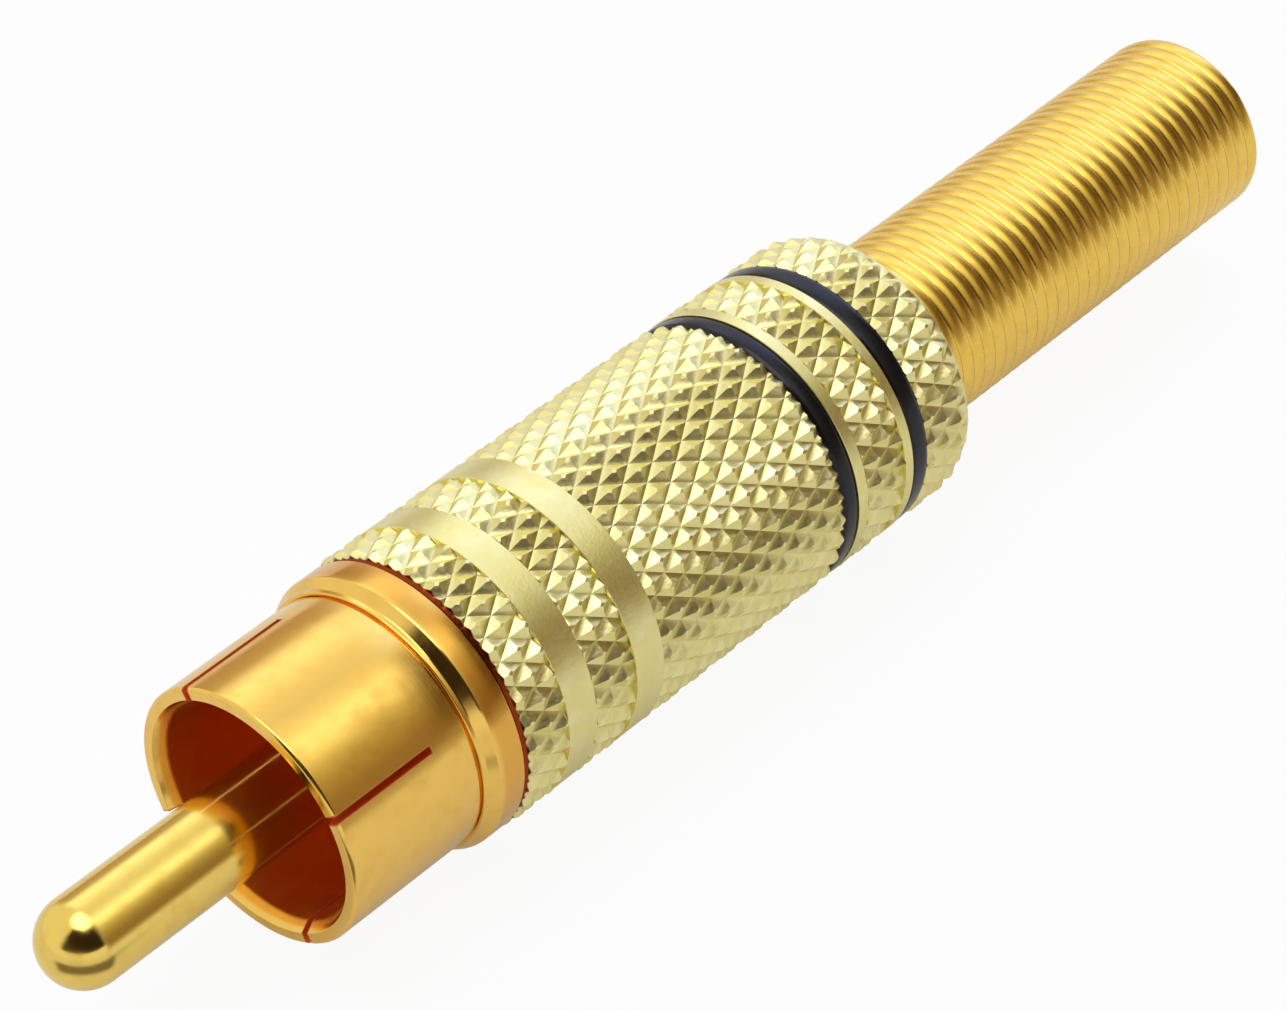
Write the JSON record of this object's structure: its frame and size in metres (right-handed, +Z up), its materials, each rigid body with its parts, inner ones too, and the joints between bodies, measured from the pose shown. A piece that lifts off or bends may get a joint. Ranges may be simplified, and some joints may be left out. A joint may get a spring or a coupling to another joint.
{
  "type": "phono plug",
  "caption": "Gold-plated screw-barrel phono plug with a slotted ground sleeve, a diamond-knurled barrel with two black rings and a spring strain relief.",
  "frame": {"origin": "on the plug's axis at the mouth of the ground sleeve", "axes": "+X along the contact pin, towards the socket; +Z up, with the plug lying on its side; the solder cup opens to +Z and the ground lug runs along the underside"},
  "size_m": [0.0588, 0.0108, 0.0106],
  "materials": {
    "polished_gold": "polished gold plate over brass",
    "satin_gold": "pale satin gold plate over brass",
    "spring_gold": "gold-plated spring wire",
    "black_ring": "glossy black",
    "insulator": "dark red moulded plastic",
    "tube": "thin pale plastic tube"
  },
  "bodies": {
    "plug": {"contact_pin": "polished_gold", "pin_insulator": "insulator", "plug_body": "polished_gold", "ground_lug": "polished_gold", "insulating_tube": "tube"},
    "spring": {"strain_relief_spring": "spring_gold"},
    "barrel": {"barrel": "satin_gold", "colour_ring_front": "black_ring", "colour_ring_rear": "black_ring"}
  },
  "joints": [
    {"name": "spring_slide", "type": "slide", "parent": "plug", "child": "spring", "axis": [-1, 0, 0], "range_m": [0, 0.0053]},
    {"name": "barrel_turn", "type": "hinge", "parent": "spring", "child": "barrel", "pos_m": [-0.02, 0, 0], "axis": [-1, 0, 0], "range_deg": [0, 2520]}
  ],
  "couplings": [
    {"joint": "spring_slide", "follows": "barrel_turn", "m_per_rad": 0.00011937}
  ]
}
